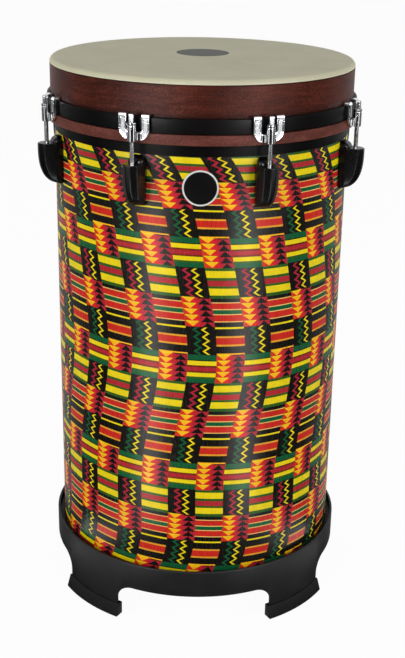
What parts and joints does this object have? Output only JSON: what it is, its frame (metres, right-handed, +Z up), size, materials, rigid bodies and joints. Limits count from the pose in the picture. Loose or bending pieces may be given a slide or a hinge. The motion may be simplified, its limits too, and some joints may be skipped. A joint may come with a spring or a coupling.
{
  "type": "conga",
  "caption": "Straight floor conga with a patterned shell, a tunable head held by claws and threaded rods, and a legged base on rubber feet.",
  "frame": {"origin": "centre of the drum's axis on the floor, at the soles of the rubber feet", "axes": "+Z up along the drum's axis, -Y towards the front, where the badge is"},
  "size_m": [0.3726, 0.3726, 0.663],
  "materials": {
    "black_shell": "black painted wood-fibre shell",
    "printed_wrap": "printed strip-cloth pattern under a glossy clear coat",
    "drum_skin": "matt cream synthetic drum skin",
    "collar_wood": "dark red-brown wood, satin",
    "hoop_wood": "red-brown wood, satin",
    "black_steel": "satin black powder coat",
    "chrome": "polished chrome plate",
    "chrome_rod": "chrome plate on a rolled thread",
    "black_lug": "glossy black moulding",
    "zinc_steel": "zinc plate",
    "screw_steel": "zinc plate",
    "base_plastic": "fine-grained black moulding",
    "black_rubber": "matt black rubber",
    "badge_enamel": "plain black enamel with a white rim"
  },
  "bodies": {
    "drum": {"shell": "black_shell", "printed_wrap": "printed_wrap", "foot_base": "base_plastic", "badge": "badge_enamel", "rubber_foot_1": "black_rubber", "rubber_foot_2": "black_rubber", "rubber_foot_3": "black_rubber", "rubber_foot_4": "black_rubber", "lug_1": "black_lug", "swivel_nut_1": "zinc_steel", "lug_screw_1_upper": "screw_steel", "lug_screw_1_lower": "screw_steel", "lug_2": "black_lug", "swivel_nut_2": "zinc_steel", "lug_screw_2_upper": "screw_steel", "lug_screw_2_lower": "screw_steel", "lug_3": "black_lug", "swivel_nut_3": "zinc_steel", "lug_screw_3_upper": "screw_steel", "lug_screw_3_lower": "screw_steel", "lug_4": "black_lug", "swivel_nut_4": "zinc_steel", "lug_screw_4_upper": "screw_steel", "lug_screw_4_lower": "screw_steel", "lug_5": "black_lug", "swivel_nut_5": "zinc_steel", "lug_screw_5_upper": "screw_steel", "lug_screw_5_lower": "screw_steel", "lug_6": "black_lug", "swivel_nut_6": "zinc_steel", "lug_screw_6_upper": "screw_steel", "lug_screw_6_lower": "screw_steel", "lug_7": "black_lug", "swivel_nut_7": "zinc_steel", "lug_screw_7_upper": "screw_steel", "lug_screw_7_lower": "screw_steel", "lug_8": "black_lug", "swivel_nut_8": "zinc_steel", "lug_screw_8_upper": "screw_steel", "lug_screw_8_lower": "screw_steel"},
    "head": {"head_skin": "drum_skin", "head_collar": "collar_wood", "flesh_hoop": "hoop_wood", "tension_band": "black_steel", "claw_1": "chrome", "claw_2": "chrome", "claw_3": "chrome", "claw_4": "chrome", "claw_5": "chrome", "claw_6": "chrome", "claw_7": "chrome", "claw_8": "chrome"},
    "rod_1": {"tension_rod_1": "chrome_rod"},
    "rod_2": {"tension_rod_2": "chrome_rod"},
    "rod_3": {"tension_rod_3": "chrome_rod"},
    "rod_4": {"tension_rod_4": "chrome_rod"},
    "rod_5": {"tension_rod_5": "chrome_rod"},
    "rod_6": {"tension_rod_6": "chrome_rod"},
    "rod_7": {"tension_rod_7": "chrome_rod"},
    "rod_8": {"tension_rod_8": "chrome_rod"}
  },
  "joints": [
    {"name": "head_tuning", "type": "slide", "parent": "drum", "child": "head", "axis": [0, 0, 1], "range_m": [0, 0.008]},
    {"name": "rod_1_turn", "type": "hinge", "parent": "head", "child": "rod_1", "pos_m": [-0.07279, -0.17572, 0.6], "axis": [0, 0, 1], "range_deg": [0, 2723]},
    {"name": "rod_2_turn", "type": "hinge", "parent": "head", "child": "rod_2", "pos_m": [0.07279, -0.17572, 0.6], "axis": [0, 0, 1], "range_deg": [0, 2723]},
    {"name": "rod_3_turn", "type": "hinge", "parent": "head", "child": "rod_3", "pos_m": [0.17572, -0.07279, 0.6], "axis": [0, 0, 1], "range_deg": [0, 2723]},
    {"name": "rod_4_turn", "type": "hinge", "parent": "head", "child": "rod_4", "pos_m": [0.17572, 0.07279, 0.6], "axis": [0, 0, 1], "range_deg": [0, 2723]},
    {"name": "rod_5_turn", "type": "hinge", "parent": "head", "child": "rod_5", "pos_m": [0.07279, 0.17572, 0.6], "axis": [0, 0, 1], "range_deg": [0, 2723]},
    {"name": "rod_6_turn", "type": "hinge", "parent": "head", "child": "rod_6", "pos_m": [-0.07279, 0.17572, 0.6], "axis": [0, 0, 1], "range_deg": [0, 2723]},
    {"name": "rod_7_turn", "type": "hinge", "parent": "head", "child": "rod_7", "pos_m": [-0.17572, 0.07279, 0.6], "axis": [0, 0, 1], "range_deg": [0, 2723]},
    {"name": "rod_8_turn", "type": "hinge", "parent": "head", "child": "rod_8", "pos_m": [-0.17572, -0.07279, 0.6], "axis": [0, 0, 1], "range_deg": [0, 2723]}
  ],
  "couplings": [
    {"joint": "rod_1_turn", "follows": "head_tuning", "rad_per_m": 5936.9},
    {"joint": "rod_2_turn", "follows": "head_tuning", "rad_per_m": 5936.9},
    {"joint": "rod_3_turn", "follows": "head_tuning", "rad_per_m": 5936.9},
    {"joint": "rod_4_turn", "follows": "head_tuning", "rad_per_m": 5936.9},
    {"joint": "rod_5_turn", "follows": "head_tuning", "rad_per_m": 5936.9},
    {"joint": "rod_6_turn", "follows": "head_tuning", "rad_per_m": 5936.9},
    {"joint": "rod_7_turn", "follows": "head_tuning", "rad_per_m": 5936.9},
    {"joint": "rod_8_turn", "follows": "head_tuning", "rad_per_m": 5936.9}
  ]
}
